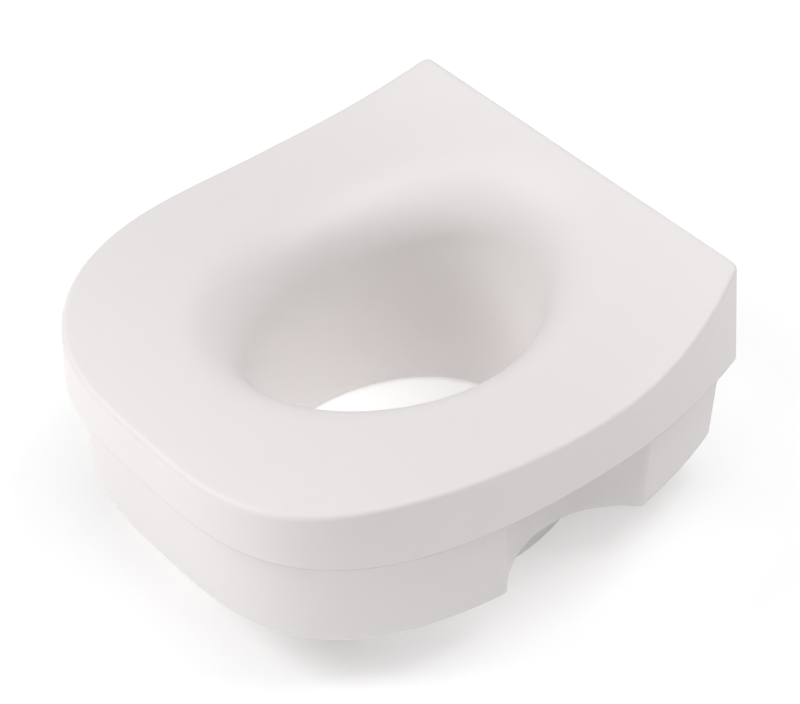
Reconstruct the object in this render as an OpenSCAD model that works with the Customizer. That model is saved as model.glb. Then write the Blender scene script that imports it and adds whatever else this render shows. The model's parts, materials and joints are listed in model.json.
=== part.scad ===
// Raised toilet seat: a soft moulded seat with its splash collar, on a riser
// block that rests on the bowl's rim, held by four sliding rim brackets.
// Millimetres. Origin: centre of the hole's lower end, on the plane that rests on the rim.
// +Z up, -Y to the nose, +X to the left side of a person who sits on it.

/* [Seat outline] */
// Width of the seat at its widest point
seat_w = 354; // [340:1:380]
// Width of the straight rear edge
rear_w = 304.5; // [290:0.5:320]
// Distance from the hole's centre back to the rear edge
rear_len = 162.5; // [160:0.5:175]
// Distance from the hole's centre forward to the nose
nose_len = 194.8; // [190:0.1:215]
// Distance of the widest point behind the hole's centre
wide_y = 25; // [10:1:30]
// Fullness of the front, along the seat (2 is an ellipse)
front_fullness = 2.56; // [2.2:0.01:3]
// Fullness of the front, across the seat (2 is an ellipse)
side_fullness = 3.3; // [2.6:0.01:3.6]
// Radius of the rear corners
corner_r = 7; // [3:0.5:10]

/* [Seat heights] */
// Height of the sitting surface over the rim, at its lowest
seat_h = 110; // [100:1:120]
// Height of the low crest near the nose, over the lowest point
crest_h = 7; // [3:0.1:9]
// Distance of that crest in front of the lowest point
crest_dist = 138; // [130:1:170]
// Distance of the lowest point behind the hole's centre
low_y = 24; // [5:1:30]
// Radius of the seat's upper edge
edge_r = 4; // [3:0.5:8]
// How far the seat's wall leans, so that it widens down to the seam, in degrees
wall_lean = 1.9; // [0:0.1:3]
// Height of the seam between seat and riser, at the nose
seam_front = 72; // [66:0.5:76]
// Height of that seam at the rear edge
seam_rear = 66; // [60:0.5:72]

/* [Hole and collar] */
// Width of the hole at its throat
hole_w = 158.8; // [150:0.1:165]
// Length of the hole at its throat
hole_len = 215; // [205:1:220]
// Distance of the throat's centre behind the centre of the lower end
hole_y = 6; // [0:0.5:7]
// Radius of the flared rim of the hole
flare_r = 39.3; // [34:0.1:41]
// Width of the hole at its lower end
outlet_w = 158; // [150:1:162]
// Length of the hole at its lower end
outlet_len = 200; // [190:1:210]
// Depth of the collar below the rim plane
collar_depth = 39.5; // [34:0.5:44]
// Width of the collar at its lower end
collar_w = 236; // [230:1:238]
// Length of the collar at its lower end
collar_len = 268; // [262:1:270]
// Taper of the collar, on each side
collar_taper = 2; // [1:0.5:2]
// Distance of the collar's centre behind the hole's centre
collar_y = 4; // [2:1:5]

/* [Riser] */
// How far the riser's upper edge is set in under the seat
riser_inset = 6.8; // [5:0.1:9]
// How far the riser's foot is set in under the seat
foot_inset = 9.9; // [9:0.1:12]
// Length of each side notch along the foot
notch_len = 118; // [100:1:125]
// Depth of each side notch
notch_depth = 29.7; // [22:0.1:30]
// Distance of the notches behind the hole's centre
notch_y = 13; // [5:1:20]

/* [Core and rim brackets] */
// Thickness of the rigid core ring
core_t = 9; // [6:1:12]
// Height of the core ring's underside over the rim plane
core_z = 20; // [19:0.5:22]
// How far a bracket slides outwards
bracket_travel = 15; // [5:1:15]
// Width of a bracket
bracket_w = 26; // [22:1:27]
// Thickness of a bracket's plate and jaw
bracket_t = 5; // [4:0.5:5]
// Depth of a bracket's jaw below the rim plane
jaw_depth = 36; // [25:1:37]
// Nominal thread of the clamp screws
screw_d = 8; // [6:1:8]
// Radius of a clamp knob
knob_r = 13; // [11:0.5:13.5]
// Radius of a rim pad
rim_pad_r = 9; // [6:0.5:9]

/* [Hidden] */

$fn = 64;
white = [0.93, 0.92, 0.91];
offwhite = [0.89, 0.88, 0.87];
wood = [0.76, 0.62, 0.43];
steel = [0.70, 0.71, 0.73];
rubber = [0.30, 0.30, 0.31];
plastic = [0.80, 0.80, 0.80];

bond_gap = 0.15;                  // glue line between the seat and the riser
bore_gap = 0.2;                   // room between the collar and the riser's bore
slide_gap = 0.2;                  // room above and below a bracket's plate
over = 1;                         // how far a cutter runs past the face it cuts

// Outline of the seat: points on one half, by stretch
front_steps = 22;
side_steps = 9;
corner_steps = 4;
rear_steps = 5;

// Rings of the seat's skin, by stretch
flare_steps = 8;
top_steps = 4;
edge_steps = 4;

// ---- plan outline -------------------------------------------------------

// Half widths and ends of the outline, set in by d on every side
function half_w(d) = seat_w / 2 - d;
function half_rear(d) = rear_w / 2 - d;
function rear_y(d) = rear_len - d;
function nose_y(d) = -nose_len + d;

// The side bows gently in from the widest point to the rear corner
function side_x(d, y) =
    let (t = (y - wide_y) / (rear_y(d) - wide_y))
    half_w(d) - (half_w(d) - half_rear(d)) * t * t;
function side_lean(d) = atan(2 * (half_w(d) - half_rear(d)) / (rear_y(d) - wide_y));

function front_points(d) = [
    for (i = [0:front_steps])
        let (a = 90 * pow(sin(90 * i / front_steps), 2))
        [half_w(d) * pow(sin(a), 2 / side_fullness),
         wide_y - (wide_y - nose_y(d)) * pow(cos(a), 2 / front_fullness)]
];

// The round corner starts where the side's offset meets the rear edge's offset
function corner_start_y(d) = rear_y(d) - corner_r * (1 - sin(side_lean(d)));
function corner_centre(d) =
    [side_x(d, corner_start_y(d)) - corner_r * cos(side_lean(d)), rear_y(d) - corner_r];

function side_points(d) = [
    for (i = [1:side_steps])
        let (y = wide_y + (corner_start_y(d) - wide_y) * i / side_steps)
        [side_x(d, y), y]
];

function corner_points(d) = [
    for (i = [1:corner_steps])
        let (a = side_lean(d) + (90 - side_lean(d)) * i / corner_steps)
        corner_centre(d) + corner_r * [cos(a), sin(a)]
];

function rear_points(d) = [
    for (i = [1:rear_steps]) [corner_centre(d).x * (1 - i / rear_steps), rear_y(d)]
];

function half_outline(d) =
    concat(front_points(d), side_points(d), corner_points(d), rear_points(d));

// The whole outline, anticlockwise from the nose
function outline(d) =
    let (half = half_outline(d), n = len(half))
    concat(half, [for (i = [n - 2:-1:1]) [-half[i].x, half[i].y]]);

// ---- ovals that share the outline's spokes ------------------------------

// Distance from the hole's centre to an oval centred at [0, cy], along a spoke
function oval_reach(a, b, cy, u) =
    let (p = pow(u.x / a, 2) + pow(u.y / b, 2), q = cy * u.y / (b * b),
         c = pow(cy / b, 2) - 1)
    (q + sqrt(q * q - p * c)) / p;
function oval(a, b, cy = 0) = [
    for (p = outline(0)) let (u = p / norm(p)) u * oval_reach(a, b, cy, u)
];

function hole_oval(grow) = oval(hole_w / 2 + grow, hole_len / 2 + grow, hole_y);
function collar_oval(grow) = oval(collar_w / 2 + grow, collar_len / 2 + grow, collar_y);

// ---- heights ------------------------------------------------------------

// Saddle of the sitting surface: level at low_y, crest_h higher at crest_dist
// in front of it, and swept up towards the rear edge
function top_z(y) =
    let (t = (y - low_y) / crest_dist)
    seat_h + crest_h * (3 * t * t + 2 * t * t * t);

function seam_z(y) =
    seam_rear + (seam_front - seam_rear) * (rear_len - y) / (rear_len + nose_len);

// Top outline, set in by d more than the wall's lean already sets it in
function leaning(d) =
    let (seam = outline(0), inside = outline(1))
    [for (k = [0:len(seam) - 1])
        seam[k] + (inside[k] - seam[k])
            * (d + tan(wall_lean) * (top_z(seam[k].y) - seam_z(seam[k].y)))];

function at_z(points, z) = [for (p = points) [p.x, p.y, z]];
function on_top(points, drop) = [for (p = points) [p.x, p.y, top_z(p.y) - drop]];
function on_seam(points, drop = 0) = [for (p = points) [p.x, p.y, seam_z(p.y) - drop]];

// ---- skins --------------------------------------------------------------

// A closed ring of rings, each with the same number of points
module ring_skin(rings) {
    n = len(rings[0]);
    m = len(rings);
    points = [for (r = rings) each r];
    faces = [
        for (j = [0:m - 1], i = [0:n - 1])
            let (k = (j + 1) % m, l = (i + 1) % n)
            each [[j * n + i, k * n + l, k * n + i], [j * n + i, j * n + l, k * n + l]]
    ];
    polyhedron(points = points, faces = faces, convexity = 8);
}

flare_rings = [
    for (i = [0:flare_steps])
        let (a = 90 * i / flare_steps)
        on_top(hole_oval(flare_r * (1 - cos(a))), flare_r * (1 - sin(a)))
];
top_rings = [
    for (i = [1:top_steps])
        let (t = i / top_steps, from = hole_oval(flare_r), to = leaning(edge_r))
        on_top([for (k = [0:len(to) - 1]) from[k] + (to[k] - from[k]) * t], 0)
];
edge_rings = [
    for (i = [1:edge_steps])
        let (a = 90 * i / edge_steps)
        on_top(leaning(edge_r * (1 - sin(a))), edge_r * (1 - cos(a)))
];
collar_foot_r = 3;
collar_rings = [
    on_seam(outline(0)),
    on_seam(collar_oval(collar_taper)),
    at_z(collar_oval(collar_taper), 0),
    at_z(collar_oval(0), collar_foot_r - collar_depth),
    at_z(collar_oval(-collar_foot_r), -collar_depth),
    at_z(oval(outlet_w / 2, outlet_len / 2), -collar_depth)
];

module seat_pad() {
    color(white)
        ring_skin(concat(flare_rings, top_rings, edge_rings, collar_rings));
}

// ---- riser --------------------------------------------------------------

notch_r = (notch_depth * notch_depth + pow(notch_len / 2, 2)) / (2 * notch_depth);
notch_x = seat_w / 2 - foot_inset - notch_depth + notch_r;

module notches(extra = 0) {
    for (side = [-1, 1])
        translate([side * notch_x, notch_y, -over])
            cylinder(h = seam_front + 2 * over, r = notch_r + extra, $fn = 128);
}

module collar_bore(grow, z, h) {
    translate([0, 0, z]) linear_extrude(h) polygon(collar_oval(collar_taper + grow));
}

module riser_body() {
    ring_skin([
        at_z(collar_oval(collar_taper + bore_gap), -over),
        on_seam(collar_oval(collar_taper + bore_gap), bond_gap),
        on_seam(outline(riser_inset), bond_gap),
        at_z(outline(foot_inset), -over)
    ]);
}

// Where the brackets stand on the collar's oval, as the oval's own angle
bracket_names = ["front_left", "front_right", "rear_left", "rear_right"];
bracket_angles = [-54, -126, 42, 138];

// Local frame of a bracket: x outwards from the collar's wall, z up
module at_bracket(i) {
    a = collar_w / 2 + collar_taper;
    b = collar_len / 2 + collar_taper;
    t = bracket_angles[i];
    translate([a * cos(t), collar_y + b * sin(t), 0])
        rotate(atan2(sin(t) / b, cos(t) / a))
            children();
}
module at_each_bracket() {
    for (i = [0:len(bracket_names) - 1]) at_bracket(i) children();
}

jaw_x = 1.5;                                     // jaw's inner face, off the collar
grip_t = 3;                                      // thickness of a grip pad
knob_room = 1.5;                                 // between knob and jaw, slid right out
screw_x = jaw_x + bracket_t + bracket_travel + knob_room + knob_r;
slot_w = screw_d + 0.8;
plate_end = screw_x + slot_w / 2 + bracket_t;    // outer end of the plate
pocket_w = 30;
pocket_end = plate_end + bracket_travel + 1;

// Room for a bracket and its knob, open below and towards the collar
module bracket_pocket() {
    reach = pocket_end - pocket_w / 2;
    translate([-4, -pocket_w / 2, -over]) cube([reach + 4, pocket_w, core_z + over]);
    translate([reach, 0, -over]) cylinder(h = core_z + over, d = pocket_w);
}

insert_flange_r = 10;
insert_flange_t = 1.4;
insert_barrel_r = 5.4;
insert_room = 9;                                 // above the core, for the screw's end

rim_pad_t = 2;
rim_pad_places = [[42, -163], [130, -70], [140, 100], [62, 138]];
module at_rim_pads() {
    for (p = rim_pad_places, side = [-1, 1]) translate([side * p.x, p.y, 0]) children();
}

module riser_block() {
    color(offwhite)
        difference() {
            riser_body();
            translate([-seat_w, -seat_w, -2 * over]) cube([2 * seat_w, 2 * seat_w, 2 * over]);
            notches();
            core_plate(grow = 0.1);
            at_each_bracket() {
                bracket_pocket();
                translate([screw_x, 0, core_z + core_t - over])
                    cylinder(h = insert_room + over, r = insert_flange_r + over);
            }
            at_rim_pads() translate([0, 0, -over]) cylinder(h = rim_pad_t + over, r = rim_pad_r);
        }
}

// ---- core ring, inserts and rim pads ------------------------------------

core_inset = 14;
core_rim = 1.5;                                  // core's edge off the collar's bore
core_notch_cover = 6;                            // riser wall between notch and core

// The core's solid, grown by a hair for the cavity that holds it
module core_plate(grow = 0) {
    difference() {
        translate([0, 0, core_z - grow])
            linear_extrude(core_t + 2 * grow) polygon(outline(core_inset - grow));
        collar_bore(core_rim - grow, core_z - over, core_t + 2 * over);
        notches(core_notch_cover - grow);
    }
}

module core_ring() {
    color(wood)
        difference() {
            core_plate();
            at_each_bracket()
                translate([screw_x, 0, core_z - over])
                    cylinder(h = core_t + 2 * over, r = insert_barrel_r + 0.05);
        }
}

module threaded_inserts() {
    color(steel)
        at_each_bracket()
            translate([screw_x, 0, core_z])
                difference() {
                    union() {
                        translate([0, 0, over]) cylinder(h = core_t - over, r = insert_barrel_r);
                        translate([0, 0, core_t]) cylinder(h = insert_flange_t, r = insert_flange_r);
                    }
                    translate([0, 0, -over])
                        cylinder(h = core_t + insert_flange_t + 2 * over, r = screw_d / 2 + 0.05);
                }
}

module rim_pads() {
    color(rubber) at_rim_pads() cylinder(h = rim_pad_t, r = rim_pad_r);
}

// ---- rim brackets -------------------------------------------------------

plate_z = core_z - slide_gap - bracket_t;

module bracket(i) {
    color(plastic)
        at_bracket(i)
            difference() {
                union() {
                    translate([jaw_x, -bracket_w / 2, plate_z])
                        cube([plate_end - bracket_w / 2 - jaw_x, bracket_w, bracket_t]);
                    translate([plate_end - bracket_w / 2, 0, plate_z])
                        cylinder(h = bracket_t, d = bracket_w);
                    translate([jaw_x, -bracket_w / 2, -jaw_depth])
                        cube([bracket_t, bracket_w, jaw_depth + plate_z + bracket_t]);
                }
                translate([screw_x - bracket_travel, -slot_w / 2, plate_z - over])
                    cube([bracket_travel, slot_w, bracket_t + 2 * over]);
                for (x = [screw_x - bracket_travel, screw_x])
                    translate([x, 0, plate_z - over])
                        cylinder(h = bracket_t + 2 * over, d = slot_w);
            }
}

// Rubber face of the jaw, ribbed across
grip_w = bracket_w - 3;
grip_rib = 1;
grip_pitch = 4;
grip_top = -5;
module grip_pad(i) {
    x = jaw_x + bracket_t;
    h = grip_top + jaw_depth - 1;
    color(rubber)
        at_bracket(i)
            difference() {
                translate([x, -grip_w / 2, grip_top - h]) cube([grip_t, grip_w, h]);
                for (z = [grip_top - grip_pitch:-grip_pitch:grip_top - h + 2])
                    translate([x + grip_t - grip_rib, -grip_w, z - 1]) cube([2 * grip_rib, 2 * grip_w, 1.4]);
            }
}

// ---- clamp screws -------------------------------------------------------

washer_t = 1.6;
washer_top = plate_z - 0.1;
knob_top = washer_top - washer_t - 0.1;
knob_h = 11.4;
knob_lobes = 6;
flute = 3;                                       // depth of the hollows between the lobes
knob_outline = [
    for (a = [0:5:355]) (knob_r - flute * (1 - cos(knob_lobes * a)) / 2) * [cos(a), sin(a)]
];
stud_sink = 9;                                   // how deep the stud sits in the knob

module washers() {
    color(steel)
        at_each_bracket()
            translate([screw_x, 0, washer_top - washer_t])
                difference() {
                    cylinder(h = washer_t, r = screw_d + 1);
                    translate([0, 0, -over]) cylinder(h = washer_t + 2 * over, r = screw_d / 2 + 0.3);
                }
}

module knob(i) {
    color(plastic)
        at_bracket(i)
            translate([screw_x, 0, knob_top - knob_h])
                difference() {
                    linear_extrude(knob_h) polygon(knob_outline);
                    translate([0, 0, knob_h - stud_sink]) cylinder(h = stud_sink + over, d = screw_d);
                }
}

module stud(i) {
    end_z = core_z + core_t + insert_flange_t + 3;
    foot_z = knob_top - stud_sink;
    color(steel)
        at_bracket(i)
            translate([screw_x, 0, foot_z]) cylinder(h = end_z - foot_z, d = screw_d);
}

seat_pad();
riser_block();
core_ring();
threaded_inserts();
rim_pads();
washers();
for (i = [0:len(bracket_names) - 1]) {
    bracket(i);
    grip_pad(i);
    knob(i);
    stud(i);
}
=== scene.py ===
"""Looks of the raised toilet seat: smooth moulded skins for the seat and the riser, finished
edges on the hidden fixings, materials, studio and camera. Metres, in the CAD model's frame:
origin at the centre of the hole's lower end, on the rim plane, +Z up, -Y to the nose."""
import json
import math

import bpy
import numpy as np
from mathutils import Matrix, Vector


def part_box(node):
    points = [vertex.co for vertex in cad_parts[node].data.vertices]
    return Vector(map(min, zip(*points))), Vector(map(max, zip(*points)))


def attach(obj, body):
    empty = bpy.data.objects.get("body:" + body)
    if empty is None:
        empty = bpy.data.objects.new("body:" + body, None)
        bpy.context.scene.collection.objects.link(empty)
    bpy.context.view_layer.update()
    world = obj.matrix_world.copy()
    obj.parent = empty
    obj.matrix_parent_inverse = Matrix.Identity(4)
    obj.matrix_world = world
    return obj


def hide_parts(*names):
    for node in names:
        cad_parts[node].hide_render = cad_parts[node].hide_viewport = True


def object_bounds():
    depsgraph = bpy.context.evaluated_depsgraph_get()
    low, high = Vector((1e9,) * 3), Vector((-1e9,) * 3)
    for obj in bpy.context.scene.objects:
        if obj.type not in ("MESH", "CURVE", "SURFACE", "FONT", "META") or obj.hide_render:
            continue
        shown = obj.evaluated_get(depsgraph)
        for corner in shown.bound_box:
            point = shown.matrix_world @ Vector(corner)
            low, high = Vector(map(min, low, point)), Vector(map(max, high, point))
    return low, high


MM = 0.001
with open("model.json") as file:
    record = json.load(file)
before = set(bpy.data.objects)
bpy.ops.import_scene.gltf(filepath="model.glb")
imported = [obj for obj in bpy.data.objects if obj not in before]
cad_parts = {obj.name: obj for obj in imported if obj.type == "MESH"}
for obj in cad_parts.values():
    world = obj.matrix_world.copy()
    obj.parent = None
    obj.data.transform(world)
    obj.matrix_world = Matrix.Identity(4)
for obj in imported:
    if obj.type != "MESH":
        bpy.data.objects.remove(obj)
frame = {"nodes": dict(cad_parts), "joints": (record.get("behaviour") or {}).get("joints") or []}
cad_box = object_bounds()

# ---- sizes ------------------------------------------------------------------------------

seat_lo, seat_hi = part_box("seat_pad")
core_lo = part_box("core_ring")[0]

# the seat's outline
HALF_W, REAR, NOSE = seat_hi[0], seat_hi[1], seat_lo[1]
HALF_REAR = 152.25 * MM
WIDE_Y = 25 * MM
FRONT_FULLNESS, SIDE_FULLNESS = 2.56, 3.3
CORNER_R = 7 * MM

# its heights, upper edge, wall and seam
SEAT_H, CREST_H, CREST_DIST, LOW_Y = 110 * MM, 7 * MM, 138 * MM, 24 * MM
EDGE_R = 4 * MM
WALL_LEAN = math.tan(math.radians(1.9))
SEAM_FRONT, SEAM_REAR = 72 * MM, 66 * MM
LIP_R = 2 * MM

# the hole and the collar: half widths (A), half lengths (B) and centres (Y) of their ovals
HOLE_A, HOLE_B, HOLE_Y = 79.4 * MM, 107.5 * MM, 6 * MM
OUTLET_A, OUTLET_B = 79 * MM, 100 * MM
FLARE_R = 39.3 * MM
COLLAR_A, COLLAR_B, COLLAR_Y, COLLAR_TAPER = 118 * MM, 134 * MM, 4 * MM, 2 * MM
COLLAR_FOOT_R = 5 * MM
COLLAR_Z = seat_lo[2]
COLLAR_FOOT_Z = COLLAR_Z + COLLAR_FOOT_R

# the riser and its notches
RISER_INSET = 6.8 * MM
FOOT_INSET = 9.9 * MM
FOOT_R = 2.2 * MM
BOND_GAP = 0.15 * MM
BORE_GAP = 0.2 * MM
NOTCH_LEN, NOTCH_DEPTH, NOTCH_Y = 118 * MM, 29.7 * MM, 13 * MM
NOTCH_R = (NOTCH_DEPTH ** 2 + (NOTCH_LEN / 2) ** 2) / (2 * NOTCH_DEPTH)
NOTCH_X = HALF_W - FOOT_INSET - NOTCH_DEPTH + NOTCH_R
NOTCH_FILLET = 5 * MM

# the bracket pockets, in a bracket's frame, and the rim pads' recesses
POCKET_START, POCKET_END = -4 * MM, 62 * MM
POCKET_HALF_W, POCKET_MOUTH_R = 15 * MM, 1.5 * MM
POCKET_OVER_CORE = 0.5 * MM
SCREW_X = 36 * MM
PAD_GAP, PAD_SPACING = 0.1 * MM, 25 * MM
CUT_BELOW = 2 * MM                         # how far a cutter runs out of the foot
BRACKET_NAMES = ("front_left", "front_right", "rear_left", "rear_right")


# ---- plan outline -----------------------------------------------------------------------

def outline_x(y, inset):
    """Half width of the outline, set in by inset on every side, at y."""
    y = np.asarray(y, float)
    ahead = np.clip((WIDE_Y - y) / (WIDE_Y - NOSE - inset), 0, 1)
    behind = np.clip((y - WIDE_Y) / (REAR - inset - WIDE_Y), 0, 1)
    front = (1 - ahead ** FRONT_FULLNESS) ** (1 / SIDE_FULLNESS)
    return (HALF_W - inset) * front - (HALF_W - HALF_REAR) * behind ** 2


def fractions(steps):
    """Even fractions from 0 to 1, without the 0."""
    return np.linspace(0, 1, steps + 1)[1:]


def quarter(steps):
    """Angles of a quarter turn, without its first."""
    return np.linspace(0, math.pi / 2, steps + 1)[1:]


def front_stretch(inset, steps, end_y=WIDE_Y):
    """From the nose round to end_y, closely spaced at the nose."""
    reach = WIDE_Y - NOSE - inset
    last = math.acos(((WIDE_Y - end_y) / reach) ** (FRONT_FULLNESS / 2))
    s = np.linspace(0, 1, steps + 1)
    ease = np.sin(np.pi / 2 * s) ** 2 if end_y == WIDE_Y else 1 - np.cos(np.pi / 2 * s)
    a = last * ease
    x = (HALF_W - inset) * np.sin(a) ** (2 / SIDE_FULLNESS)
    y = WIDE_Y - reach * np.cos(a) ** (2 / FRONT_FULLNESS)
    return np.column_stack([x, y])


def rear_stretch(inset, start_y, side_steps, corner_steps=12, rear_steps=16):
    """From start_y back along the side, round the corner and in to the rear edge's middle."""
    rear = REAR - inset
    lean = math.atan(2 * (HALF_W - HALF_REAR) / (rear - WIDE_Y))
    corner_y = rear - CORNER_R * (1 - math.sin(lean))
    y = np.linspace(start_y, corner_y, side_steps + 1)[1:]
    side = np.column_stack([outline_x(y, inset), y])
    centre = np.array([side[-1, 0] - CORNER_R * math.cos(lean), rear - CORNER_R])
    a = np.linspace(lean, math.pi / 2, corner_steps + 1)[1:]
    corner = centre + CORNER_R * np.column_stack([np.cos(a), np.sin(a)])
    x = np.linspace(corner[-1, 0], 0, rear_steps + 1)[1:]
    back = np.column_stack([x, np.full(rear_steps, rear)])
    return np.vstack([side, corner, back])


def both_halves(half):
    """A closed outline from the half at +X, which starts and ends on the middle line."""
    return np.vstack([half, half[-2:0:-1] * (-1, 1)])


def seat_outline(inset):
    return both_halves(np.vstack([front_stretch(inset, 64), rear_stretch(inset, WIDE_Y, 30)]))


def arc(centre, radius, start, end, steps):
    """Points from one angle to the other, without the first."""
    a = np.linspace(start, end, steps + 1)[1:]
    return centre + radius * np.column_stack([np.cos(a), np.sin(a)])


def notch_fillet(inset, radius, side):
    """Where the round corner between outline and notch touches the outline, and its centre.
    side is -1 for the corner in front of the notch and 1 for the one behind it."""
    notch = np.array([NOTCH_X, NOTCH_Y])

    def corner(y):
        slope = (outline_x(y + MM, inset) - outline_x(y - MM, inset)) / (2 * MM)
        inward = np.array([-1, slope]) / math.hypot(1, slope)
        point = np.array([float(outline_x(y, inset)), y])
        return point, point + NOTCH_FILLET * inward

    # halve the stretch that holds the fillet's centre until it is found
    near, far = NOTCH_Y, NOTCH_Y + side * (NOTCH_LEN / 2 + 3 * NOTCH_FILLET)
    for _ in range(50):
        mid = (near + far) / 2
        if np.linalg.norm(corner(mid)[1] - notch) < radius + NOTCH_FILLET:
            near = mid
        else:
            far = mid
    return corner(mid)


def angle(v):
    return math.atan2(v[1], v[0])


def riser_outline(inset, grow=0.0):
    """Outline of the riser with its two side notches, whose walls stand grow further in."""
    notch, radius = np.array([NOTCH_X, NOTCH_Y]), NOTCH_R + grow
    p1, c1 = notch_fillet(inset, radius, -1)
    p2, c2 = notch_fillet(inset, radius, 1)
    to_1, to_2 = angle(c1 - notch), angle(c2 - notch)
    parts = [
        front_stretch(inset, 56, p1[1]),
        arc(c1, NOTCH_FILLET, angle(p1 - c1), angle(notch - c1), 10),
        arc(notch, radius, to_1 + 2 * math.pi, to_2, 30),
        arc(c2, NOTCH_FILLET, angle(notch - c2), angle(p2 - c2), 10),
        rear_stretch(inset, p2[1], 18),
    ]
    return both_halves(np.vstack(parts))


def oval(outline, a, b, centre_y=0.0):
    """The oval's points on the spokes from the hole's centre through the outline's points."""
    u = outline / np.linalg.norm(outline, axis=1)[:, None]
    p = (u[:, 0] / a) ** 2 + (u[:, 1] / b) ** 2
    q = centre_y * u[:, 1] / b ** 2
    c = (centre_y / b) ** 2 - 1
    return u * ((q + np.sqrt(q * q - p * c)) / p)[:, None]


def hole(outline, grow=0.0):
    return oval(outline, HOLE_A + grow, HOLE_B + grow, HOLE_Y)


def outlet(outline, grow=0.0):
    return oval(outline, OUTLET_A + grow, OUTLET_B + grow)


def collar(outline, grow=0.0):
    return oval(outline, COLLAR_A + grow, COLLAR_B + grow, COLLAR_Y)


def bore(outline, grow=0.0):
    """The riser's bore, which stands BORE_GAP + grow clear of the collar."""
    return collar(outline, COLLAR_TAPER + BORE_GAP + grow)


# ---- heights ----------------------------------------------------------------------------

def top_z(y):
    """Saddle of the sitting surface."""
    t = (y - LOW_Y) / CREST_DIST
    return SEAT_H + CREST_H * (3 * t ** 2 + 2 * t ** 3)


def seam_z(y):
    """The seam slopes evenly from the nose to the rear edge."""
    return SEAM_REAR + (SEAM_FRONT - SEAM_REAR) * (REAR - y) / (REAR - NOSE)


def leaning(outer, inset):
    """The top outline, set in by inset more than the wall's lean sets it in."""
    inward = (seat_outline(MM) - outer) / MM
    lean = WALL_LEAN * (top_z(outer[:, 1]) - seam_z(outer[:, 1]))
    return outer + inward * (inset + lean)[:, None]


def at(points, z):
    return np.column_stack([points, np.broadcast_to(z, len(points))])


# ---- meshes -----------------------------------------------------------------------------

def new_object(name, mesh):
    obj = bpy.data.objects.new(name, mesh)
    bpy.context.scene.collection.objects.link(obj)
    return obj


def skin_mesh(name, rings, closed=True, capped=False):
    """A mesh of quads through rings of equal length. closed joins the last ring to the first,
    and capped closes both ends with a face."""
    m, n = len(rings), len(rings[0])
    points = np.vstack(rings)
    j, i = np.meshgrid(np.arange(m if closed else m - 1), np.arange(n), indexing="ij")
    k, l = (j + 1) % m, (i + 1) % n
    faces = np.stack([j * n + i, j * n + l, k * n + l, k * n + i], -1).reshape(-1, 4).tolist()
    if capped:
        faces += [list(range(n))[::-1], list(range((m - 1) * n, m * n))]
    mesh = bpy.data.meshes.new(name)
    mesh.from_pydata(points.tolist(), [], faces)
    mesh.validate()
    if signed_volume(mesh) < 0:
        mesh.flip_normals()
    mesh.shade_smooth()
    return mesh


def signed_volume(mesh):
    """Six times the volume, negative where the faces are inside out."""
    mesh.calc_loop_triangles()
    co = np.array([v.co for v in mesh.vertices])
    a, b, c = (co[[t.vertices[i] for t in mesh.loop_triangles]] for i in range(3))
    return float((a * np.cross(b, c)).sum())


def apply_modifiers(obj):
    """Bakes the object's modifiers into its mesh."""
    depsgraph = bpy.context.evaluated_depsgraph_get()
    mesh = bpy.data.meshes.new_from_object(obj.evaluated_get(depsgraph))
    obj.modifiers.clear()
    obj.data = mesh


def between(start, end, steps, height):
    """Rings from one outline to another, without the first, at height(y)."""
    rings = []
    for t in fractions(steps):
        p = start + (end - start) * t
        rings.append(at(p, height(p[:, 1])))
    return rings


def hole_rings(outer):
    """Up the hole's wall, from the collar's foot, and round the flared rim."""
    foot, throat = outlet(outer), hole(outer)
    throat_z = top_z(throat[:, 1]) - FLARE_R
    rings = []
    for t in np.linspace(0, 1, 20)[:-1]:
        rings.append(at(foot + (throat - foot) * t,
                        COLLAR_FOOT_Z + (throat_z - COLLAR_FOOT_Z) * t))
    for a in np.linspace(0, math.pi / 2, 29):
        p = hole(outer, FLARE_R * (1 - math.cos(a)))
        rings.append(at(p, top_z(p[:, 1]) - FLARE_R * (1 - math.sin(a))))
    return rings


def top_rings(outer):
    """Over the sitting surface and its upper edge."""
    rings = between(hole(outer, FLARE_R), leaning(outer, EDGE_R), 18, top_z)
    for a in quarter(10):
        p = leaning(outer, EDGE_R * (1 - math.sin(a)))
        rings.append(at(p, top_z(p[:, 1]) - EDGE_R * (1 - math.cos(a))))
    return rings


def side_rings(outer, start):
    """Down the side from the ring start, round the lip, and in under the seat to the collar."""
    end = at(outer, seam_z(outer[:, 1]) + LIP_R)
    rings = [start + (end - start) * t for t in fractions(11)]
    for a in quarter(5):
        p = seat_outline(LIP_R * (1 - math.cos(a)))
        rings.append(at(p, seam_z(p[:, 1]) + LIP_R * (1 - math.sin(a))))
    return rings + between(seat_outline(LIP_R), collar(outer, COLLAR_TAPER), 9, seam_z)


def collar_rings(outer):
    """Down the collar, round its foot and up to the hole."""
    wall = collar(outer, COLLAR_TAPER)
    high = seam_z(wall[:, 1])
    rings = [at(wall, high * (1 - t)) for t in fractions(7)]
    rings += [at(collar(outer, COLLAR_TAPER * (1 - t)), COLLAR_FOOT_Z * t) for t in fractions(6)]
    for a in quarter(7):
        rings.append(at(collar(outer, -COLLAR_FOOT_R * (1 - math.cos(a))),
                        COLLAR_FOOT_Z - COLLAR_FOOT_R * math.sin(a)))
    rings += between(collar(outer, -COLLAR_FOOT_R), outlet(outer, COLLAR_FOOT_R), 5,
                     lambda y: COLLAR_Z)
    for a in quarter(7)[:-1]:
        rings.append(at(outlet(outer, COLLAR_FOOT_R * (1 - math.sin(a))),
                        COLLAR_FOOT_Z - COLLAR_FOOT_R * math.cos(a)))
    return rings


def seat_skin():
    outer = seat_outline(0)
    rings = hole_rings(outer) + top_rings(outer)
    rings += side_rings(outer, rings[-1])
    rings += collar_rings(outer)
    return new_object("seat_skin", skin_mesh("seat_skin", rings))


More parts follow.
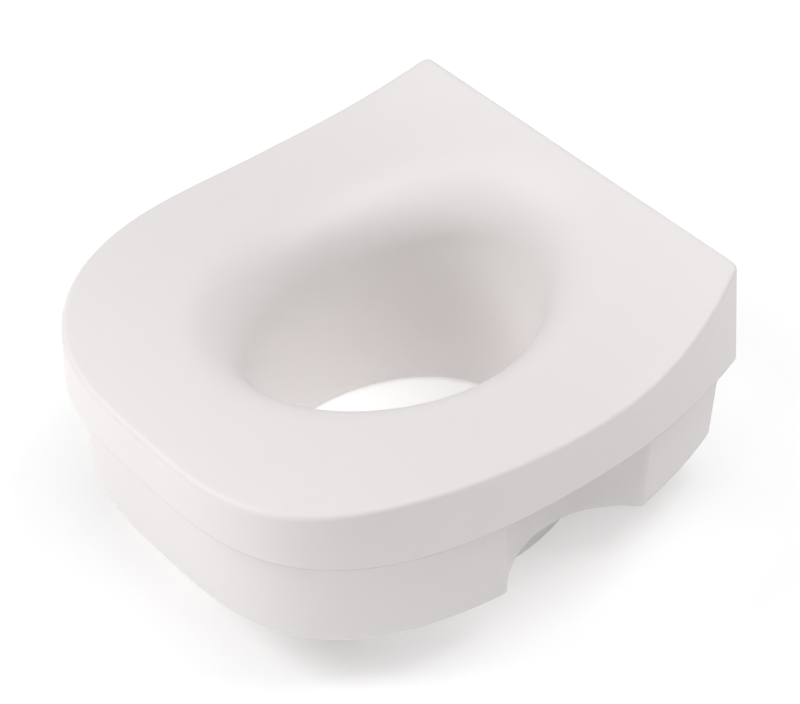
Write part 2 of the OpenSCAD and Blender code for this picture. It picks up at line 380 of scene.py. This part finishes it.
def under_seat_z(y):
    """Height of the riser's upper face."""
    return seam_z(y) - BOND_GAP


def riser_top_rings(outer):
    """Under the seat, from the bore out to the wall, and round the riser's upper edge."""
    start, end = bore(outer), riser_outline(RISER_INSET + LIP_R, LIP_R)
    rings = [at(start, under_seat_z(start[:, 1]))] + between(start, end, 5, under_seat_z)
    for a in quarter(4):
        turn = LIP_R * (1 - math.sin(a))
        p = riser_outline(RISER_INSET + turn, turn)
        rings.append(at(p, under_seat_z(p[:, 1]) - LIP_R * (1 - math.cos(a))))
    return rings


def riser_wall_rings():
    """Down the wall and round the foot's edge."""
    rings = []
    for t in fractions(12):
        p = riser_outline(RISER_INSET + (FOOT_INSET - RISER_INSET) * t)
        high = under_seat_z(p[:, 1]) - LIP_R
        rings.append(at(p, high + (FOOT_R - high) * t))
    for a in quarter(6):
        turn = FOOT_R * (1 - math.cos(a))
        rings.append(at(riser_outline(FOOT_INSET + turn, turn), FOOT_R * (1 - math.sin(a))))
    return rings


def bore_rings(outer):
    """Across the foot and up the bore."""
    rings = between(riser_outline(FOOT_INSET + FOOT_R, FOOT_R), bore(outer, LIP_R), 6,
                    lambda y: 0.0)
    for a in quarter(4):
        rings.append(at(bore(outer, LIP_R * (1 - math.sin(a))), LIP_R * (1 - math.cos(a))))
    wall = bore(outer)
    high = under_seat_z(wall[:, 1])
    return rings + [at(wall, LIP_R + (high - LIP_R) * t) for t in fractions(5)[:-1]]


def riser_skin():
    outer = riser_outline(FOOT_INSET)
    rings = riser_top_rings(outer) + riser_wall_rings() + bore_rings(outer)
    riser = new_object("riser_skin", skin_mesh("riser_skin", rings))
    cut_from(riser, [pocket_cutter(name) for name in BRACKET_NAMES] + rim_pad_cutters())
    return riser


def bracket_frame(name):
    """A bracket's frame: origin on the collar's wall in the rim plane, x along its slide."""
    slide = next(j for j in frame["joints"] if j["name"] == f"bracket_{name}_slide")
    turn = next(j for j in frame["joints"] if j["name"] == f"knob_{name}_turn")
    x = Vector(slide["axis"]).normalized()
    y = Vector((0, 0, 1)).cross(x)
    wall = Vector(turn["pos_m"]) - x * SCREW_X
    wall.z = 0
    return Matrix.Translation(wall) @ Matrix((x, y, (0, 0, 1))).transposed().to_4x4()


def slot_outline(start, end, half_w, steps=16):
    """A slot from start, square, to a round end, in a bracket's frame."""
    a = np.linspace(-math.pi / 2, math.pi / 2, steps + 1)
    nose = np.column_stack([end - half_w + half_w * np.cos(a), half_w * np.sin(a)])
    return np.vstack([[start, -half_w], nose, [start, half_w]])


def pocket_cutter(name):
    """The room of a bracket and its knob, with a rounded mouth at the foot."""
    grow_z = [(0, core_lo[2] + POCKET_OVER_CORE), (0, POCKET_MOUTH_R)]
    grow_z += [(POCKET_MOUTH_R * (1 - math.cos(a)), POCKET_MOUTH_R * (1 - math.sin(a)))
               for a in quarter(5)]
    grow_z.append((POCKET_MOUTH_R, -CUT_BELOW))
    rings = [at(slot_outline(POCKET_START, POCKET_END + grow, POCKET_HALF_W + grow), z)
             for grow, z in grow_z]
    cutter = new_object(f"pocket_{name}", skin_mesh("pocket", rings, closed=False, capped=True))
    cutter.matrix_world = bracket_frame(name)
    return cutter


def rim_pad_tops():
    """The upper face of each rim pad, as a list of its points."""
    co = np.array([v.co for v in frame["nodes"]["rim_pads"].data.vertices])
    tops = []
    for point in co[np.abs(co[:, 2] - co[:, 2].max()) < 0.1 * MM]:
        near = [top for top in tops if np.linalg.norm(top[0][:2] - point[:2]) < PAD_SPACING]
        if near:
            near[0].append(point)
        else:
            tops.append([point])
    return tops


def rim_pad_cutters():
    """Recesses for the rim pads, where the CAD has them."""
    turn = np.linspace(0, 2 * math.pi, 65)[:-1]
    circle = np.column_stack([np.cos(turn), np.sin(turn)])
    cutters = []
    for top in rim_pad_tops():
        low, high = np.min(top, 0), np.max(top, 0)
        centre = (low + high) / 2
        ring = centre[:2] + ((high[0] - low[0]) / 2 + PAD_GAP) * circle
        rings = [at(ring, z) for z in (-CUT_BELOW, centre[2] + PAD_GAP / 2)]
        mesh = skin_mesh("pad_recess", rings, closed=False, capped=True)
        cutters.append(new_object("pad_recess", mesh))
    return cutters


def cut_from(obj, cutters):
    """Cuts the cutters out of the object and removes them."""
    for cutter in cutters:
        mod = obj.modifiers.new("cut", "BOOLEAN")
        mod.operation, mod.solver, mod.object = "DIFFERENCE", "EXACT", cutter
    apply_modifiers(obj)
    obj.data.set_sharp_from_angle(angle=math.radians(30))
    for cutter in cutters:
        bpy.data.objects.remove(cutter)


# ---- materials --------------------------------------------------------------------------

MOTTLE_SIZE, STREAK_SIZE, WEAR_SIZE = 30 * MM, 6 * MM, 9 * MM
WEAR = 0.04                                # how far the roughness wanders
GRAIN_HEIGHT = 0.1 * MM


def material(name, color, roughness, grain=0.0, grain_size=0.5 * MM, metallic=0.0, mottle=0.02,
             streaks=None):
    """A procedural material: colour with a faint mottle, a fine moulded grain in the bump, and
    a roughness that wanders a little. streaks squeezes the mottle along one axis, as in wood."""
    mat = bpy.data.materials.new(name)
    mat.use_nodes = True
    nodes, links = mat.node_tree.nodes, mat.node_tree.links
    bsdf = nodes["Principled BSDF"]
    bsdf.inputs["Metallic"].default_value = metallic
    where = nodes.new("ShaderNodeTexCoord").outputs["Object"]

    def noise(size, detail, scale=(1, 1, 1)):
        stretch = nodes.new("ShaderNodeMapping")
        stretch.inputs["Scale"].default_value = scale
        links.new(where, stretch.inputs["Vector"])
        tex = nodes.new("ShaderNodeTexNoise")
        tex.inputs["Scale"].default_value = 1 / size
        tex.inputs["Detail"].default_value = detail
        links.new(stretch.outputs["Vector"], tex.inputs["Vector"])
        return tex.outputs["Fac"]

    def spread(fac, low, high):
        ramp = nodes.new("ShaderNodeMapRange")
        ramp.inputs["To Min"].default_value = low
        ramp.inputs["To Max"].default_value = high
        links.new(fac, ramp.inputs["Value"])
        return ramp.outputs["Result"]

    broad = noise(STREAK_SIZE if streaks else MOTTLE_SIZE, 4, streaks or (1, 1, 1))
    tint = nodes.new("ShaderNodeMix")
    tint.data_type = "RGBA"
    tint.inputs["A"].default_value = (*[c * (1 - mottle) for c in color], 1)
    tint.inputs["B"].default_value = (*[min(1, c * (1 + mottle)) for c in color], 1)
    links.new(broad, tint.inputs["Factor"])
    links.new(tint.outputs["Result"], bsdf.inputs["Base Color"])
    links.new(spread(noise(WEAR_SIZE, 3), roughness - WEAR, roughness + WEAR),
              bsdf.inputs["Roughness"])
    if grain:
        bump = nodes.new("ShaderNodeBump")
        bump.inputs["Strength"].default_value = grain
        bump.inputs["Distance"].default_value = GRAIN_HEIGHT
        links.new(noise(grain_size, 2), bump.inputs["Height"])
        links.new(bump.outputs["Normal"], bsdf.inputs["Normal"])
    return mat


def dress(obj, mat):
    """Gives the object this material alone."""
    obj.data.materials.clear()
    obj.data.materials.append(mat)


def soften(obj, width):
    """Rounds a CAD node's edges for the eye, without touching its own mesh."""
    bevel = obj.modifiers.new("edges", "BEVEL")
    bevel.width = width
    bevel.segments = 3
    bevel.limit_method = "ANGLE"
    bevel.angle_limit = math.radians(35)
    obj.data.shade_smooth()
    obj.modifiers.new("normals", "WEIGHTED_NORMAL")


def paint_seam_shade(obj, mat):
    """Paints shade on the rolled lip just over the seam: gives it a darker material, which stands
    in for the shade of the crease where the lip closes on the riser.
    """
    obj.data.materials.append(mat)
    for face in obj.data.polygons:
        x, y, z = face.center
        if math.hypot(x, y) > HOLE_B + FLARE_R and abs(z - seam_z(y)) < LIP_R:
            face.material_index = 1


# ---- the object -------------------------------------------------------------------------

foam = material("seat_foam", (0.815, 0.782, 0.775), 0.5, grain=0.12, mottle=0.008)
riser_foam = material("riser_foam", (0.805, 0.772, 0.765), 0.52, grain=0.12, mottle=0.008)
# painted shade: a darker copy of the seat's foam for the lip over the seam, standing in for the
# crease's shade
seam_painted_shade = material("seam_painted_shade", (0.64, 0.612, 0.605), 0.6, grain=0.12, mottle=0.008)
ply = material("core_plywood", (0.52, 0.36, 0.20), 0.65, grain=0.3, mottle=0.18,
               streaks=(1, 12, 12))
steel = material("zinc_steel", (0.60, 0.61, 0.63), 0.32, grain=0.05, metallic=1.0)
rubber = material("grip_rubber", (0.035, 0.035, 0.037), 0.75, grain=0.3, mottle=0.1)
bracket_plastic = material("bracket_plastic", (0.62, 0.62, 0.61), 0.42, grain=0.2,
                           grain_size=0.7 * MM)
knob_plastic = material("knob_plastic", (0.62, 0.62, 0.61), 0.38, grain=0.2, grain_size=0.7 * MM)

seat = seat_skin()
dress(seat, foam)
# paints the crease's shade on the lip over the seam
paint_seam_shade(seat, seam_painted_shade)
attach(seat, "seat")
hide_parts("seat_pad")

riser = riser_skin()
dress(riser, riser_foam)
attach(riser, "seat")
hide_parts("riser_block")

for name, mat in (("core_ring", ply), ("threaded_inserts", steel)):
    dress(frame["nodes"][name], mat)
for name, mat, width in (("rim_pads", rubber, 0.3 * MM), ("washers", steel, 0.2 * MM)):
    dress(frame["nodes"][name], mat)
    soften(frame["nodes"][name], width)
for name in BRACKET_NAMES:
    for part, mat, width in (("bracket", bracket_plastic, 0.8 * MM), ("grip_pad", rubber, 0.3 * MM),
                             ("knob", knob_plastic, 1.0 * MM), ("stud", steel, 0.4 * MM)):
        node = frame["nodes"][f"{part}_{name}"]
        dress(node, mat)
        soften(node, width)

# ---- studio -----------------------------------------------------------------------------

VIEW_AZIMUTH, VIEW_ELEVATION, VIEW_ROLL = 51.5, 41.39, -1.85     # degrees
VIEW_DISTANCE = 1.7659
VIEW_AIM = Vector((0, 0.0104, 0))
VIEW_SLIDE = (-0.00277, 0.04349)           # the camera's own shift to its right and up
LENS, SENSOR = 120.41, 36                  # millimetres

SOFTBOX_SIZE, SOFTBOX_DISTANCE = 1.2, 2.2
FLOOR_HALF = 6.0
FLOOR_GLOW = 0.28
SOFTBOXES = (                              # name, azimuth, elevation, power
    ("top", 0, 89, 6.3),
    ("front_top", 0, 65, 4),
    ("right", 90, 40, 7),
    ("right_top", 90, 65, 14.5),
    ("right_front", 45, 40, 3.5),
    ("right_back", 135, 12, 8.5),
    ("left", 270, 40, 23.5),
    ("left_front", 315, 12, 9.5),
    ("left_back", 225, 12, 3.4),
    ("back", 180, 12, 2),
)


def view_axes(azimuth, elevation, roll=0.0):
    """Right, up and back of a camera that looks in from that side."""
    a, e, r = (math.radians(x) for x in (azimuth, elevation, roll))
    back = Vector((math.sin(a) * math.cos(e), -math.cos(a) * math.cos(e), math.sin(e)))
    level = Vector((math.cos(a), math.sin(a), 0))
    up = back.cross(level)
    right = math.cos(r) * level + math.sin(r) * up
    return right, back.cross(right), back


def looking(place, axes):
    """The matrix of a camera or lamp at place, whose right, up and back are axes."""
    return Matrix.Translation(place) @ Matrix(axes).transposed().to_4x4()


def make_camera():
    right, up, back = view_axes(VIEW_AZIMUTH, VIEW_ELEVATION, VIEW_ROLL)
    data = bpy.data.cameras.new("camera")
    data.lens = LENS
    data.sensor_width = SENSOR
    cam = new_object("camera", data)
    place = VIEW_AIM + back * VIEW_DISTANCE + right * VIEW_SLIDE[0] + up * VIEW_SLIDE[1]
    cam.matrix_world = looking(place, (right, up, back))
    bpy.context.scene.camera = cam


def softbox(name, azimuth, elevation, power):
    """A round softbox that faces the origin. Its azimuth counts from the camera's."""
    right, up, back = view_axes(VIEW_AZIMUTH + azimuth, elevation)
    data = bpy.data.lights.new(name, "AREA")
    data.shape = "DISK"
    data.size = SOFTBOX_SIZE
    data.energy = power
    lamp = new_object(name, data)
    lamp.matrix_world = looking(back * SOFTBOX_DISTANCE, (right, up, back))


def make_floor():
    """A white floor under the collar, which glows a little so that it shows no grey."""
    mesh = bpy.data.meshes.new("floor")
    corners = [(x * FLOOR_HALF, y * FLOOR_HALF, cad_box[0][2])
               for x, y in ((-1, -1), (1, -1), (1, 1), (-1, 1))]
    mesh.from_pydata(corners, [], [(0, 1, 2, 3)])
    floor = new_object("floor", mesh)
    mat = bpy.data.materials.new("floor")
    mat.use_nodes = True
    bsdf = mat.node_tree.nodes["Principled BSDF"]
    bsdf.inputs["Base Color"].default_value = (0.86, 0.86, 0.86, 1)
    bsdf.inputs["Roughness"].default_value = 0.9
    bsdf.inputs["Specular IOR Level"].default_value = 0.1
    bsdf.inputs["Emission Color"].default_value = (1, 1, 1, 1)
    bsdf.inputs["Emission Strength"].default_value = FLOOR_GLOW
    dress(floor, mat)


def make_world(strength):
    world = bpy.data.worlds.new("studio")
    world.use_nodes = True
    background = world.node_tree.nodes["Background"]
    background.inputs["Color"].default_value = (1, 1, 1, 1)
    background.inputs["Strength"].default_value = strength
    bpy.context.scene.world = world


make_camera()
make_floor()
make_world(0.02)
for box in SOFTBOXES:
    softbox(*box)
bpy.context.scene.view_settings.view_transform = "Standard"
